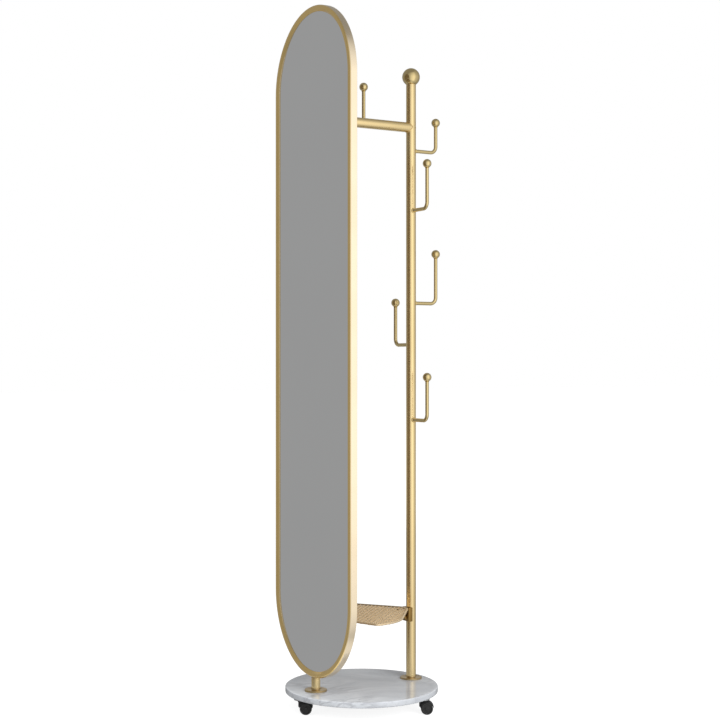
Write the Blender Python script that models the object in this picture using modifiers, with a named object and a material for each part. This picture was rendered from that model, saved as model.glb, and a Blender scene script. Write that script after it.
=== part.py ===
import bmesh
import bpy
from math import acos, ceil, cos, pi, radians, sin, sqrt, tan
from mathutils import Matrix, Vector

for old_object in list(bpy.data.objects):
    bpy.data.objects.remove(old_object)

# clearance between pieces that touch
GAP = 0.0003

# marble base
BASE_RADIUS = 0.190
BASE_THICKNESS = 0.014
BASE_EDGE = 0.002

# casters under the base, all trailing the same way
CASTER_INSET = 0.020
CASTER_ANGLES = (-90, 30, 150)
CASTER_HEIGHT = 0.038
CASTER_TRAIL = 0.011
CASTER_HEADING = 60
CASTER_PLATE_RADIUS = 0.018
CASTER_PLATE_THICKNESS = 0.0025
CASTER_STEM_RADIUS = 0.0025
CASTER_STEM_LENGTH = 0.0125
CASTER_WEB = 0.008
CASTER_FENDER = 0.0018
WHEEL_RADIUS = 0.015
WHEEL_WIDTH = 0.008
WHEEL_EDGE = 0.0015
WHEEL_CLEARANCE = 0.0006
WHEEL_SIDES = 20
AXLE_RADIUS = 0.002

# front post under the mirror and tall pole behind it
POST_INSET = 0.060
POST_RADIUS = 0.011
POST_PLUG_LENGTH = 0.011
POLE_INSET = 0.044
POLE_RADIUS = 0.0125
POLE_PLUG_LENGTH = 0.030
TUBE_WALL = 0.0015
FLANGE_RADIUS = 0.0275
FLANGE_THICKNESS = 0.004
FLANGE_EDGE = 0.0012
FOOT_BOLT_RADIUS = 0.004
FOOT_BOLT_HEAD_RADIUS = 0.0075
FOOT_BOLT_HEAD = 0.005
COUNTERBORE_DEPTH = 0.006
FINIAL_HEIGHT = 1.531
FINIAL_RADIUS = 0.0225
FINIAL_STUD_LENGTH = 0.020

# pill-shaped mirror
MIRROR_LIFT = 0.0346
MIRROR_WIDTH = 0.384
MIRROR_HEIGHT = 1.640
FRAME_DEPTH = 0.020
FRAME_FACE = 0.015
FRAME_WALL = 0.0025
FRAME_LIP = 0.005
GLASS_THICKNESS = 0.003
PANEL_THICKNESS = 0.002
ARC_STEPS = 26
CLIP_WIDTH = 0.010
CLIP_LENGTH = 0.030
CLIP_SHARES = (0.23, 0.58)

# lower and upper pivots of the mirror
PIN_RADIUS = 0.002
PIVOT_HEAD = 0.003
PIVOT_PLUG_LENGTH = 0.011
WASHER_RADIUS = 0.009
WASHER_THICKNESS = 0.0015
BLOCK_WIDTH = 0.030
BLOCK_HEIGHT = 0.018
STRAP_THICKNESS = 0.0015
STRAP_HEIGHT = 0.040
EYE_RADIUS = 0.0035
EYE_LENGTH = 0.009
PINTLE_RADIUS = 0.002
ARM_WIDTH = 0.007
ARM_HEIGHT = 0.010
ARM_REACH = 0.016
ARM_HEAD = 0.004
ARM_PLUG_LENGTH = 0.020

# crossbar from the mirror's upper pivot to the pole, below the ball on the pole
CROSSBAR_DROP = 0.129
CROSSBAR_RADIUS = 0.0125
CROSSBAR_PLUG_LENGTH = 0.020
CROSSBAR_BOLT_RADIUS = 0.003
CROSSBAR_BOLT_HEAD_RADIUS = 0.006
CROSSBAR_BOLT_HEAD = 0.0035

# hooks: bearing in degrees, drop of the arm below the ball on the pole, rise of the hook's ball above the arm
HOOK_REACH = 0.075
HOOK_ROD_RADIUS = 0.004
HOOK_BEND = 0.016
HOOK_BEND_STEPS = 5
HOOK_BALL_RADIUS = 0.011
HOOK_ROOT = 0.002
POLE_HOOKS = (
    ("hook_2", 90, 0.188, 0.0775),
    ("hook_3", 0, 0.341, 0.112),
    ("hook_4", 90, 0.576, 0.1276),
    ("hook_5", 180, 0.682, 0.110),
    ("hook_6", 0, 0.873, 0.109),
)
CROSSBAR_HOOK_SPACING = 0.096
CROSSBAR_HOOK_LIFT = 0.004
CROSSBAR_HOOK_RISE = 0.103

# flat mesh tray carried by the pole, its front edges cut back to let the mirror turn
MIRROR_TURN = 20
TRAY_HEIGHT = 0.180
TRAY_CLEARANCE = 0.005
TRAY_HALF_WIDTH = 0.172
TRAY_SHOULDER_HALF_WIDTH = 0.158
TRAY_SHOULDER_SHARE = 0.41
TRAY_SHOULDER_CURVE = 0.65
TRAY_END_HALF_WIDTH = 0.014
TRAY_MIDDLE_ROUND = 0.100
TRAY_FRONT_ROUND = 0.012
TRAY_END_ROUND = 0.011
TRAY_CORNER_STEPS = 5
TRAY_FLOOR_THICKNESS = 0.0016
TRAY_RIM_RADIUS = 0.0025
MESH_PITCH = 0.0165
MESH_STRAND = 0.003
MESH_BORDER = 0.003
BRACKET_HALF_WIDTH = 0.015
BRACKET_FRONT = 0.004
BRACKET_WRAP = 0.008
BRACKET_DROP = 0.033
STRUT_LENGTH = 0.029
STRUT_WIDTH = 0.012
STRUT_DEPTH = 0.010
TRAY_SCREW_RADIUS = 0.0019
TRAY_SCREW_HEAD_RADIUS = 0.0032
TRAY_SCREW_HEAD = 0.002
TRAY_SCREW_DROPS = (0.0165, 0.0080)

# sizes that follow from those above, the mirror's depths measured from the axis it turns on
BASE_UNDERSIDE = CASTER_HEIGHT + GAP
BASE_TOP = BASE_UNDERSIDE + BASE_THICKNESS
CASTER_CIRCLE = BASE_RADIUS - CASTER_INSET
POST_OFFSET = POST_INSET - BASE_RADIUS
POLE_OFFSET = BASE_RADIUS - POLE_INSET
BASE_SHIFT = -(POLE_OFFSET + HOOK_REACH + HOOK_BALL_RADIUS - BASE_RADIUS) / 2
STRAP_FRONT = -max(EYE_RADIUS, ARM_WIDTH / 2)
PANEL_BACK = STRAP_FRONT - GAP
PANEL_FRONT = PANEL_BACK - PANEL_THICKNESS
GLASS_BACK = PANEL_FRONT - GAP
GLASS_FRONT = GLASS_BACK - GLASS_THICKNESS
MIRROR_FRONT = GLASS_FRONT - GAP - FRAME_LIP
MIRROR_BACK = MIRROR_FRONT + FRAME_DEPTH
POST_BORE = POST_RADIUS - TUBE_WALL
POLE_BORE = POLE_RADIUS - TUBE_WALL
CROSSBAR_BORE = CROSSBAR_RADIUS - TUBE_WALL
POST_TOP = MIRROR_LIFT - WASHER_THICKNESS - PIVOT_HEAD - 3 * GAP
CROSSBAR_HEIGHT = FINIAL_HEIGHT - CROSSBAR_DROP
TRAY_MIDDLE = POST_OFFSET + (MIRROR_BACK + TRAY_CLEARANCE) / cos(radians(MIRROR_TURN))
TRAY_FRONT = TRAY_MIDDLE + TRAY_HALF_WIDTH * tan(radians(MIRROR_TURN))
FINIAL_SEAT = sqrt(FINIAL_RADIUS ** 2 - POLE_RADIUS ** 2)
POLE_TOP = FINIAL_HEIGHT - FINIAL_SEAT - GAP
CROSSBAR_START = POST_OFFSET + ARM_REACH + ARM_HEAD + GAP
BRACKET_FACE = POLE_OFFSET - POLE_RADIUS - BRACKET_FRONT
TRAY_END = BRACKET_FACE - GAP
TRAY_LENGTH = TRAY_END - TRAY_FRONT
TRAY_SHOULDER = TRAY_FRONT + TRAY_SHOULDER_SHARE * TRAY_LENGTH
TRAY_SHOULDER_ROUND = TRAY_SHOULDER_CURVE * TRAY_LENGTH
WHEEL_CENTRE = WHEEL_RADIUS * cos(pi / WHEEL_SIDES)
CASTER_WIDTH = CASTER_WEB + 2 * (WHEEL_CLEARANCE + WHEEL_WIDTH)
FLOOR_UNDERSIDE = TRAY_HEIGHT - TRAY_FLOOR_THICKNESS / 2

# finishes: colour, roughness, metallic
GOLD = ((0.52, 0.39, 0.21), 0.28, 1.0)
STEEL = ((0.50, 0.50, 0.51), 0.35, 1.0)
MARBLE = ((0.72, 0.72, 0.73), 0.12, 0.0)
SILVERED = ((0.82, 0.83, 0.83), 0.03, 1.0)
BOARD = ((0.07, 0.06, 0.05), 0.75, 0.0)
BLACK = ((0.012, 0.012, 0.013), 0.42, 0.0)
NYLON = ((0.70, 0.69, 0.66), 0.45, 0.0)

part_collection = bpy.data.collections.new("rotating_floor_mirror")
cutter_collection = bpy.data.collections.new("cutters")
bpy.context.scene.collection.children.link(part_collection)
bpy.context.scene.collection.children.link(cutter_collection)


def axis_point(name, location, parent=None, heading=0):
    empty = bpy.data.objects.new(name, None)
    empty.empty_display_size = 0.02
    empty.location = location
    empty.rotation_euler.z = radians(heading)
    empty.parent = parent
    part_collection.objects.link(empty)
    return empty


def piece(shape, finish, parent, location=(0, 0, 0), rotation=(0, 0, 0)):
    colour, roughness, metallic = finish
    material = bpy.data.materials.new(shape.name + "_finish")
    material.use_nodes = True
    shader = material.node_tree.nodes["Principled BSDF"]
    shader.inputs["Base Color"].default_value = (*colour, 1)
    shader.inputs["Roughness"].default_value = roughness
    shader.inputs["Metallic"].default_value = metallic
    material.diffuse_color = (*colour, 1)
    shape.data.materials.append(material)
    shape.location = location
    shape.rotation_euler = rotation
    shape.parent = parent
    part_collection.objects.link(shape)
    return shape


def combine(shape, tool, operation, parent, location=(0, 0, 0), rotation=(0, 0, 0)):
    tool.location = location
    tool.rotation_euler = rotation
    tool.parent = parent
    tool.hide_render = True
    tool.display_type = "WIRE"
    cutter_collection.objects.link(tool)
    step = shape.modifiers.new(tool.name, "BOOLEAN")
    step.solver = "EXACT"
    step.operation = operation
    step.object = tool


def cut(shape, tool, parent, location=(0, 0, 0), rotation=(0, 0, 0)):
    combine(shape, tool, "DIFFERENCE", parent, location, rotation)


def fuse(shape, tool, parent, location=(0, 0, 0), rotation=(0, 0, 0)):
    combine(shape, tool, "UNION", parent, location, rotation)


# turned piece: profile of (radius, height) pairs, top to bottom on its outer side
def turned(name, profile, sides, ring=False):
    mesh = bpy.data.meshes.new(name)
    edges = [(index, index + 1) for index in range(len(profile) - 1)]
    if ring:
        edges.append((len(profile) - 1, 0))
    mesh.from_pydata([(radius, 0, height) for radius, height in profile], edges, [])
    shape = bpy.data.objects.new(name, mesh)
    screw = shape.modifiers.new("turn", "SCREW")
    screw.steps = sides
    screw.render_steps = sides
    screw.use_merge_vertices = True
    screw.merge_threshold = 0.00001
    return shape


def tube(name, radius, bore, start, end, sides):
    return turned(name, [(radius, end), (radius, start), (bore, start), (bore, end)], sides, ring=True)


# ball with a flat seat of the given radius below
def ball_profile(radius, seat_radius, rings):
    seat_angle = acos(seat_radius / radius)
    angles = [pi / 2 - pi / 2 * index / rings for index in range(rings)]
    angles += [-seat_angle * index / rings for index in range(rings + 1)]
    return [(radius * cos(angle), radius * sin(angle)) for angle in angles]


def solid_from(name, builder):
    builder_mesh = bpy.data.meshes.new(name)
    bmesh.ops.recalc_face_normals(builder, faces=builder.faces)
    builder.to_mesh(builder_mesh)
    builder.free()
    return bpy.data.objects.new(name, builder_mesh)


def box(name, low, high):
    builder = bmesh.new()
    size = Vector(high) - Vector(low)
    centre = (Vector(high) + Vector(low)) / 2
    bmesh.ops.create_cube(builder, size=1, matrix=Matrix.Translation(centre) @ Matrix.Diagonal((*size, 1)))
    return solid_from(name, builder)


# round bar standing on its centre along Z
def bar(name, radius, length, sides):
    builder = bmesh.new()
    bmesh.ops.create_cone(
        builder, cap_ends=True, segments=sides, radius1=radius, radius2=radius, depth=length)
    return solid_from(name, builder)


# flat plate in the XY plane, centred on its thickness
def plate(name, loops, thickness):
    curve = bpy.data.curves.new(name, "CURVE")
    curve.dimensions = "2D"
    curve.fill_mode = "BOTH"
    curve.extrude = thickness / 2
    for loop in loops:
        spline = curve.splines.new("POLY")
        spline.points.add(len(loop) - 1)
        spline.use_cyclic_u = True
        for point, (x, y) in zip(spline.points, loop):
            point.co = (x, y, 0, 1)
    flat = bpy.data.objects.new(name, curve)
    mesh = bpy.data.meshes.new_from_object(flat)
    bpy.data.objects.remove(flat)
    builder = bmesh.new()
    builder.from_mesh(mesh)
    bmesh.ops.remove_doubles(builder, verts=builder.verts, dist=0.00001)
    return solid_from(name, builder)


def rod(name, path, radius, roundness, closed=False):
    curve = bpy.data.curves.new(name, "CURVE")
    curve.dimensions = "3D"
    curve.bevel_depth = radius
    curve.bevel_resolution = roundness
    curve.use_fill_caps = True
    spline = curve.splines.new("POLY")
    spline.points.add(len(path) - 1)
    spline.use_cyclic_u = closed
    spline.use_smooth = True
    for point, place in zip(spline.points, path):
        point.co = (*place, 1)
    return bpy.data.objects.new(name, curve)


stand = axis_point("stand", (0, BASE_SHIFT, 0))
rack = axis_point("rack", (0, 0, BASE_TOP), stand)

# base slab with a bolt hole and a counterbore under each foot
base_profile = [
    (0, BASE_TOP),
    (BASE_RADIUS - BASE_EDGE, BASE_TOP),
    (BASE_RADIUS, BASE_TOP - BASE_EDGE),
    (BASE_RADIUS, BASE_UNDERSIDE + BASE_EDGE),
    (BASE_RADIUS - BASE_EDGE, BASE_UNDERSIDE),
    (0, BASE_UNDERSIDE),
]
base_slab = piece(turned("base_slab", base_profile, 64), MARBLE, stand)
for foot_name, offset in (("post", POST_OFFSET), ("pole", POLE_OFFSET)):
    bolt_hole = bar(foot_name + "_bolt_hole", FOOT_BOLT_RADIUS + GAP, 2 * BASE_THICKNESS, 16)
    cut(base_slab, bolt_hole, stand, (0, offset, BASE_TOP - BASE_THICKNESS / 2))
    counterbore = bar(foot_name + "_counterbore", FOOT_BOLT_HEAD_RADIUS + 4 * GAP, 2 * COUNTERBORE_DEPTH, 20)
    cut(base_slab, counterbore, stand, (0, offset, BASE_UNDERSIDE))


# flange, foot plug and bolt of one upright
def foot(name, offset, radius, bore, plug_length):
    flange_profile = [
        (FLANGE_RADIUS - FLANGE_EDGE, GAP + FLANGE_THICKNESS),
        (FLANGE_RADIUS, GAP + FLANGE_THICKNESS - FLANGE_EDGE),
        (FLANGE_RADIUS, GAP),
        (radius + GAP, GAP),
        (radius + GAP, GAP + FLANGE_THICKNESS),
    ]
    piece(turned(name + "_flange", flange_profile, 32, ring=True), GOLD, rack, (0, offset, 0))
    plug_top = GAP + plug_length
    plug = tube(name + "_foot_plug", bore - GAP, FOOT_BOLT_RADIUS + GAP, GAP, plug_top, 20)
    piece(plug, STEEL, rack, (0, offset, 0))
    head_top = COUNTERBORE_DEPTH - BASE_THICKNESS - GAP
    bolt_profile = [
        (0, plug_top - GAP),
        (FOOT_BOLT_RADIUS, plug_top - GAP),
        (FOOT_BOLT_RADIUS, head_top),
        (FOOT_BOLT_HEAD_RADIUS, head_top),
        (FOOT_BOLT_HEAD_RADIUS, head_top - FOOT_BOLT_HEAD),
        (0, head_top - FOOT_BOLT_HEAD),
    ]
    piece(turned(name + "_bolt", bolt_profile, 16), STEEL, rack, (0, offset, 0))


foot("post", POST_OFFSET, POST_RADIUS, POST_BORE, POST_PLUG_LENGTH)
foot("pole", POLE_OFFSET, POLE_RADIUS, POLE_BORE, POLE_PLUG_LENGTH)

# front post and the pin that carries the mirror
piece(tube("front_post", POST_RADIUS, POST_BORE, GAP, POST_TOP, 28), GOLD, rack, (0, POST_OFFSET, 0))
block_inner = (MIRROR_WIDTH / 2 - FRAME_WALL) * cos(pi / 2 / ARC_STEPS)
block_low = MIRROR_WIDTH / 2 - sqrt(block_inner ** 2 - (BLOCK_WIDTH / 2) ** 2) + GAP
pin_top = MIRROR_LIFT + block_low + BLOCK_HEIGHT - 4 * GAP
head_low = POST_TOP + GAP
pin_profile = [
    (0, pin_top),
    (PIN_RADIUS, pin_top),
    (PIN_RADIUS, head_low + PIVOT_HEAD),
    (POST_RADIUS, head_low + PIVOT_HEAD),
    (POST_RADIUS, head_low),
    (POST_BORE - GAP, head_low),
    (POST_BORE - GAP, head_low - PIVOT_PLUG_LENGTH),
    (0, head_low - PIVOT_PLUG_LENGTH),
]
piece(turned("pivot_pin", pin_profile, 24), STEEL, rack, (0, POST_OFFSET, 0))
washer_low = head_low + PIVOT_HEAD + GAP
washer = tube("thrust_washer", WASHER_RADIUS, PIN_RADIUS + GAP, washer_low, washer_low + WASHER_THICKNESS, 24)
piece(washer, NYLON, rack, (0, POST_OFFSET, 0))

# mirror, built upright from flat outlines around its turning axis
mirror_axis = axis_point("mirror_axis", (0, POST_OFFSET, MIRROR_LIFT), rack)
UPRIGHT = (pi / 2, 0, 0)


def pill(inset):
    radius = MIRROR_WIDTH / 2 - inset
    centre = MIRROR_HEIGHT / 2 - MIRROR_WIDTH / 2
    outline = []
    for side, start in ((1, 0), (-1, pi)):
        for index in range(ARC_STEPS + 1):
            angle = start + pi * index / ARC_STEPS
            outline.append((radius * cos(angle), side * centre + radius * sin(angle)))
    return outline


def pill_place(front, back):
    return (0, (front + back) / 2, MIRROR_HEIGHT / 2)


frame = plate("mirror_frame", [pill(0)], FRAME_DEPTH)
piece(frame, GOLD, mirror_axis, pill_place(MIRROR_FRONT, MIRROR_BACK), UPRIGHT)
pocket = plate("frame_pocket", [pill(FRAME_WALL)], FRAME_DEPTH)
pocket_front = MIRROR_FRONT + FRAME_LIP
cut(frame, pocket, mirror_axis, pill_place(pocket_front, pocket_front + FRAME_DEPTH), UPRIGHT)
window = plate("frame_window", [pill(FRAME_FACE)], 2 * FRAME_DEPTH)
cut(frame, window, mirror_axis, pill_place(MIRROR_FRONT, MIRROR_FRONT), UPRIGHT)
cut(frame, bar("frame_pin_hole", PIN_RADIUS + GAP, 4 * FRAME_WALL, 16), mirror_axis)
glass = plate("mirror_glass", [pill(FRAME_WALL + GAP)], GLASS_THICKNESS)
piece(glass, SILVERED, mirror_axis, pill_place(GLASS_FRONT, GLASS_BACK), UPRIGHT)
panel = plate("back_panel", [pill(FRAME_WALL + GAP)], PANEL_THICKNESS)
piece(panel, BOARD, mirror_axis, pill_place(PANEL_FRONT, PANEL_BACK), UPRIGHT)
clip_number = 0
clip_outer = MIRROR_WIDTH / 2 - FRAME_WALL - GAP
for side in (-1, 1):
    clip_edges = sorted((side * clip_outer, side * (clip_outer - CLIP_WIDTH)))
    for share in CLIP_SHARES:
        clip_number += 1
        height = share * MIRROR_HEIGHT
        low = (clip_edges[0], STRAP_FRONT, height - CLIP_LENGTH / 2)
        high = (clip_edges[1], MIRROR_BACK - 3 * GAP, height + CLIP_LENGTH / 2)
        piece(box("panel_clip_" + str(clip_number), low, high), STEEL, mirror_axis)

# lower pivot block in the bottom of the frame
block_corner = (BLOCK_WIDTH / 2, MIRROR_BACK - GAP, block_low + BLOCK_HEIGHT)
block = box("lower_pivot_block", (-BLOCK_WIDTH / 2, STRAP_FRONT, block_low), block_corner)
piece(block, STEEL, mirror_axis)
cut(block, bar("block_bore", PIN_RADIUS + GAP, 4 * BLOCK_HEIGHT, 16), mirror_axis)

# upper pivot strap across the back of the frame, with an eye above and below the arm
pivot_height = CROSSBAR_HEIGHT - MIRROR_LIFT
eye_start = ARM_HEIGHT / 2 + 2 * GAP
arc_start = MIRROR_HEIGHT - MIRROR_WIDTH / 2
arc_rise = max(0, pivot_height + STRAP_HEIGHT / 2 - arc_start)
strap_half = sqrt((clip_outer * cos(pi / 2 / ARC_STEPS)) ** 2 - arc_rise ** 2) if arc_rise else clip_outer
strap_low = (-strap_half, STRAP_FRONT, pivot_height - STRAP_HEIGHT / 2)
strap_high = (strap_half, STRAP_FRONT + STRAP_THICKNESS, pivot_height + STRAP_HEIGHT / 2)
strap = box("upper_pivot_strap", strap_low, strap_high)
piece(strap, STEEL, mirror_axis)
for side, word in ((-1, "lower"), (1, "upper")):
    eye_centre = pivot_height + side * (eye_start + EYE_LENGTH / 2)
    fuse(strap, bar(word + "_eye", EYE_RADIUS, EYE_LENGTH, 16), mirror_axis, (0, 0, eye_centre))
arm_window_half = ARM_WIDTH / 2 + 4 * GAP
arm_window_low = (-arm_window_half, -2 * EYE_RADIUS, pivot_height - eye_start + GAP / 2)
arm_window_high = (arm_window_half, 2 * EYE_RADIUS, pivot_height + eye_start - GAP / 2)
cut(strap, box("arm_window", arm_window_low, arm_window_high), mirror_axis)
pintle_length = 2 * (eye_start + EYE_LENGTH)
cut(strap, bar("eye_bore", PINTLE_RADIUS + GAP, 2 * pintle_length, 16), mirror_axis, (0, 0, pivot_height))

# pivot arm on the front end of the crossbar
crossbar_axis = axis_point("crossbar_axis", (0, POST_OFFSET, CROSSBAR_HEIGHT), rack)
BACKWARD = (-pi / 2, 0, 0)
plug_end = ARM_REACH + ARM_HEAD + ARM_PLUG_LENGTH
arm_profile = [
    (0, plug_end),
    (CROSSBAR_BORE - GAP, plug_end),
    (CROSSBAR_BORE - GAP, ARM_REACH + ARM_HEAD),
    (CROSSBAR_RADIUS, ARM_REACH + ARM_HEAD),
    (CROSSBAR_RADIUS, ARM_REACH),
    (0, ARM_REACH),
]
arm = piece(turned("pivot_arm", arm_profile, 24), GOLD, crossbar_axis, rotation=BACKWARD)
arm_half = ARM_WIDTH / 2
tongue_end = ARM_REACH + ARM_HEAD / 2
tongue_outline = [(arm_half, tongue_end), (-arm_half, tongue_end)]
for index in range(9):
    angle = pi + pi * index / 8
    tongue_outline.append((arm_half * cos(angle), arm_half * sin(angle)))
fuse(arm, plate("arm_tongue", [tongue_outline], ARM_HEIGHT), crossbar_axis)
fuse(arm, bar("arm_pintle", PINTLE_RADIUS, pintle_length, 16), crossbar_axis)

# crossbar tube, coped to the pole, with a plug and a bolt that hold it there
crossbar_length = POLE_OFFSET - CROSSBAR_START
crossbar = tube("crossbar", CROSSBAR_RADIUS, CROSSBAR_BORE, 0, crossbar_length, 28)
piece(crossbar, GOLD, rack, (0, CROSSBAR_START, CROSSBAR_HEIGHT), BACKWARD)
cope = bar("crossbar_cope", POLE_RADIUS + GAP, 4 * CROSSBAR_RADIUS, 28)
cut(crossbar, cope, rack, (0, POLE_OFFSET, CROSSBAR_HEIGHT))
plug_rear = POLE_OFFSET - POLE_RADIUS - 2 * GAP
plug = tube("crossbar_plug", CROSSBAR_BORE - GAP, CROSSBAR_BOLT_RADIUS + GAP, -CROSSBAR_PLUG_LENGTH, 0, 20)
piece(plug, STEEL, rack, (0, plug_rear, CROSSBAR_HEIGHT), BACKWARD)
bolt_seat = POLE_RADIUS + GAP
bolt_profile = [
    (0, bolt_seat + CROSSBAR_BOLT_HEAD),
    (CROSSBAR_BOLT_HEAD_RADIUS / 2, bolt_seat + 0.9 * CROSSBAR_BOLT_HEAD),
    (CROSSBAR_BOLT_HEAD_RADIUS, bolt_seat + CROSSBAR_BOLT_HEAD / 3),
    (CROSSBAR_BOLT_HEAD_RADIUS, bolt_seat),
    (CROSSBAR_BOLT_RADIUS, bolt_seat),
    (CROSSBAR_BOLT_RADIUS, -POLE_RADIUS - CROSSBAR_PLUG_LENGTH),
    (0, -POLE_RADIUS - CROSSBAR_PLUG_LENGTH),
]
bolt_place = (0, POLE_OFFSET, CROSSBAR_HEIGHT)
piece(turned("crossbar_bolt", bolt_profile, 16), STEEL, rack, bolt_place, BACKWARD)

# tall pole, drilled for the hooks, the crossbar bolt and the tray screws
pole = tube("rear_pole", POLE_RADIUS, POLE_BORE, GAP, POLE_TOP, 28)
piece(pole, GOLD, rack, (0, POLE_OFFSET, 0))
bolt_way = bar("pole_bolt_way", CROSSBAR_BOLT_RADIUS + GAP, 4 * POLE_RADIUS, 12)
cut(pole, bolt_way, rack, bolt_place, BACKWARD)
finial_profile = ball_profile(FINIAL_RADIUS, POLE_RADIUS, 5)
finial_profile.append((POLE_BORE - GAP, -FINIAL_SEAT))
finial_profile.append((POLE_BORE - GAP, -FINIAL_SEAT - FINIAL_STUD_LENGTH))
finial_profile.append((0, -FINIAL_SEAT - FINIAL_STUD_LENGTH))
piece(turned("ball_finial", finial_profile, 24), GOLD, rack, (0, POLE_OFFSET, FINIAL_HEIGHT))


# one hook: a bent rod rooted in a drilled tube, with a ball on its upright end
def hook(name, carrier, carrier_radius, place, bearing, rise):
    turn = (0, 0, radians(bearing))
    path = [(carrier_radius - TUBE_WALL - HOOK_ROOT, 0, 0)]
    for index in range(HOOK_BEND_STEPS + 1):
        angle = pi / 2 * index / HOOK_BEND_STEPS
        path.append((HOOK_REACH - HOOK_BEND + HOOK_BEND * sin(angle), 0, HOOK_BEND - HOOK_BEND * cos(angle)))
    seat = sqrt(HOOK_BALL_RADIUS ** 2 - HOOK_ROD_RADIUS ** 2)
    path.append((HOOK_REACH, 0, rise - seat - GAP))
    piece(rod(name + "_rod", path, HOOK_ROD_RADIUS, 3), GOLD, rack, place, turn)
    ball = turned(name + "_ball", ball_profile(HOOK_BALL_RADIUS, HOOK_ROD_RADIUS, 4) + [(0, -seat)], 16)
    across = Vector((cos(radians(bearing)), sin(radians(bearing)), 0)) * HOOK_REACH
    piece(ball, GOLD, rack, Vector(place) + across + Vector((0, 0, rise)))
    drill = bar(name + "_hole", HOOK_ROD_RADIUS + 2 * GAP, 2 * carrier_radius, 12)
    drill.data.transform(Matrix.Translation((carrier_radius, 0, 0)) @ Matrix.Rotation(pi / 2, 4, "Y"))
    cut(carrier, drill, rack, place, turn)


crossbar_hook_place = (0, POLE_OFFSET - CROSSBAR_HOOK_SPACING, CROSSBAR_HEIGHT + CROSSBAR_HOOK_LIFT)
hook("hook_1", crossbar, CROSSBAR_RADIUS, crossbar_hook_place, 180, CROSSBAR_HOOK_RISE)
for name, bearing, drop, rise in POLE_HOOKS:
    hook(name, pole, POLE_RADIUS, (0, POLE_OFFSET, FINIAL_HEIGHT - drop), bearing, rise)

# outline of the tray: blunt point at the mirror, rounded shoulders and a narrow end at the pole
TRAY_CORNERS = (
    (0, TRAY_MIDDLE, TRAY_MIDDLE_ROUND),
    (TRAY_HALF_WIDTH, TRAY_FRONT, TRAY_FRONT_ROUND),
    (TRAY_SHOULDER_HALF_WIDTH, TRAY_SHOULDER, TRAY_SHOULDER_ROUND),
    (TRAY_END_HALF_WIDTH, TRAY_END, TRAY_END_ROUND),
    (-TRAY_END_HALF_WIDTH, TRAY_END, TRAY_END_ROUND),
    (-TRAY_SHOULDER_HALF_WIDTH, TRAY_SHOULDER, TRAY_SHOULDER_ROUND),
    (-TRAY_HALF_WIDTH, TRAY_FRONT, TRAY_FRONT_ROUND),
)


def tray_outline(inset):
    outline = []
    count = len(TRAY_CORNERS)
    for index, (x, y, corner_radius) in enumerate(TRAY_CORNERS):
        corner = Vector((x, y))
        back = (Vector(TRAY_CORNERS[index - 1][:2]) - corner).normalized()
        ahead = (Vector(TRAY_CORNERS[(index + 1) % count][:2]) - corner).normalized()
        half_angle = back.angle(ahead) / 2
        centre = corner + (back + ahead).normalized() * corner_radius / sin(half_angle)
        radius = corner_radius - inset
        first = Vector((-back.y, back.x))
        sweep = pi - 2 * half_angle
        for step in range(TRAY_CORNER_STEPS + 1):
            arm_vector = first.copy()
            arm_vector.rotate(Matrix.Rotation(sweep * step / TRAY_CORNER_STEPS, 2))
            outline.append(tuple(centre + arm_vector * radius))
    return outline


# bracket between the tray and the pole, with a strut under the tray
bracket_bottom = TRAY_HEIGHT - BRACKET_DROP
bracket_low = (-BRACKET_HALF_WIDTH, BRACKET_FACE, bracket_bottom)
bracket_back = BRACKET_FACE + BRACKET_FRONT + BRACKET_WRAP
bracket_high = (BRACKET_HALF_WIDTH, bracket_back, TRAY_HEIGHT + TRAY_RIM_RADIUS)
bracket = box("tray_bracket", bracket_low, bracket_high)
piece(bracket, GOLD, rack)
strut_foot = BRACKET_FACE + BRACKET_FRONT / 2
strut_tip = BRACKET_FACE - STRUT_LENGTH
strut_top = FLOOR_UNDERSIDE - GAP
strut_outline = [
    (strut_foot, bracket_bottom),
    (strut_foot, bracket_bottom + STRUT_DEPTH),
    (strut_tip + STRUT_DEPTH, strut_top),
    (strut_tip, strut_top),
]
fuse(bracket, plate("bracket_strut", [strut_outline], STRUT_WIDTH), rack, rotation=(pi / 2, 0, pi / 2))
saddle = bar("bracket_saddle", POLE_RADIUS + GAP, 4 * BRACKET_DROP, 28)
cut(bracket, saddle, rack, (0, POLE_OFFSET, TRAY_HEIGHT))

# tray floor and rim
floor_inset = 2 * TRAY_RIM_RADIUS + GAP
tray_floor = plate("tray_floor", [tray_outline(floor_inset)], TRAY_FLOOR_THICKNESS)
piece(tray_floor, GOLD, rack, (0, 0, TRAY_HEIGHT))
openings = bmesh.new()
diagonal = MESH_PITCH * sqrt(2)
hole_radius = (MESH_PITCH - MESH_STRAND) / sqrt(2)
rows = ceil((TRAY_END - TRAY_MIDDLE) / diagonal) * 2
columns = ceil(TRAY_HALF_WIDTH / diagonal)
for row in range(rows + 1):
    for column in range(-columns, columns + 1):
        spot = ((column + row % 2 / 2) * diagonal, TRAY_MIDDLE + row * diagonal / 2, 0)
        bmesh.ops.create_cone(
            openings, cap_ends=True, segments=4, radius1=hole_radius, radius2=hole_radius,
            depth=4 * TRAY_FLOOR_THICKNESS, matrix=Matrix.Translation(spot))
mesh_openings = solid_from("mesh_openings", openings)
mesh_area = plate("mesh_area", [tray_outline(floor_inset + MESH_BORDER)], 2 * TRAY_FLOOR_THICKNESS)
combine(mesh_openings, mesh_area, "INTERSECT", rack, (0, 0, TRAY_HEIGHT))
cut(tray_floor, mesh_openings, rack, (0, 0, TRAY_HEIGHT))
rim_path = [(x, y, TRAY_HEIGHT) for x, y in tray_outline(TRAY_RIM_RADIUS)]
piece(rod("tray_rim", rim_path, TRAY_RIM_RADIUS, 2, closed=True), GOLD, rack)

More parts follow.
